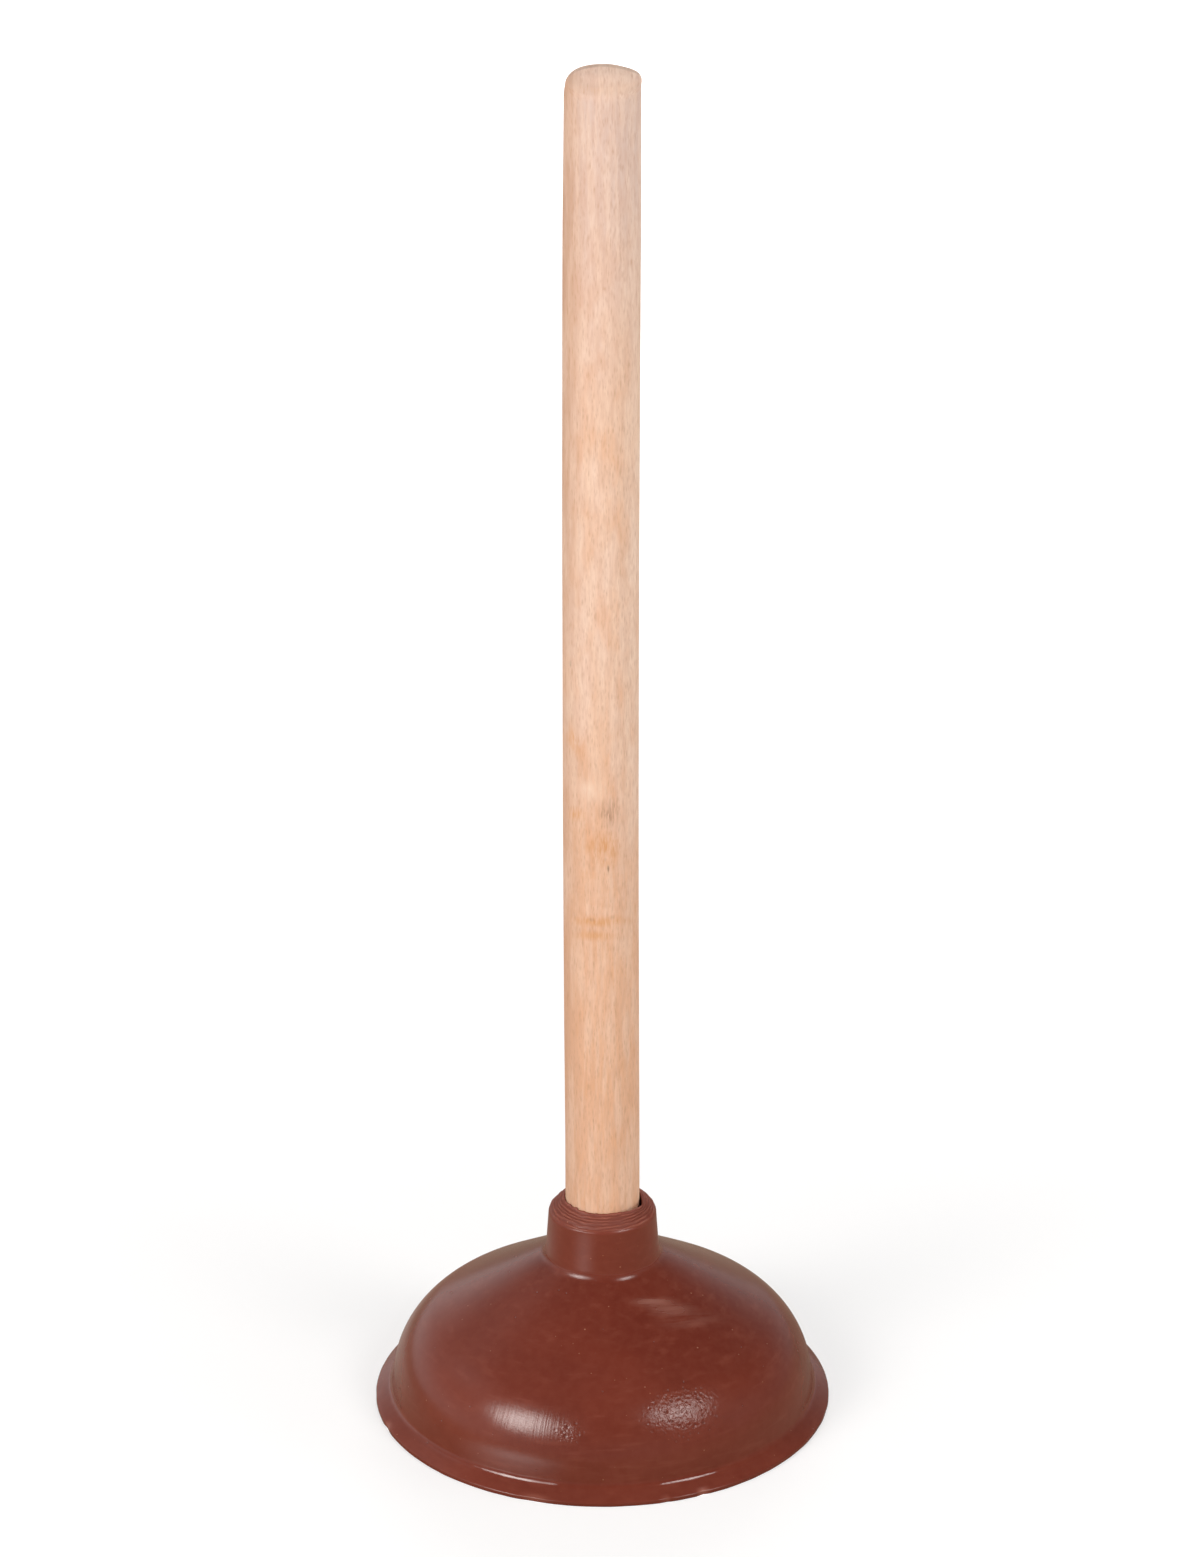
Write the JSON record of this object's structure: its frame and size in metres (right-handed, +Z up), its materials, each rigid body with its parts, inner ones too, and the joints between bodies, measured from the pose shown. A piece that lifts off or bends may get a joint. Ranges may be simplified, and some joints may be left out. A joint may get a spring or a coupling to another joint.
{
  "type": "toilet plunger",
  "caption": "Cup plunger: a hollow rubber cup with a flared lip and a collar that holds a long straight wooden handle; pushing the handle squashes the cup.",
  "frame": {"origin": "centre of the cup's rim, on the plane that it stands on", "axes": "+Z up along the handle; the part is turned about Z, so X and Y are free"},
  "size_m": [0.15, 0.15, 0.4609],
  "materials": {
    "cup_rubber": "semi-gloss red-brown moulded rubber",
    "handle_wood": "bare pale wood, turned and fine-sanded",
    "fixing_steel": "zinc plated"
  },
  "bodies": {
    "cup": {"cup": "cup_rubber"},
    "handle": {"handle": "handle_wood", "screw": "fixing_steel", "washer": "fixing_steel"}
  },
  "joints": [
    {"name": "plunge", "type": "slide", "parent": "cup", "child": "handle", "axis": [0, 0, -1], "range_m": [0, 0.025], "stiffness_N_per_m": 3000, "deforming": ["cup"]}
  ]
}
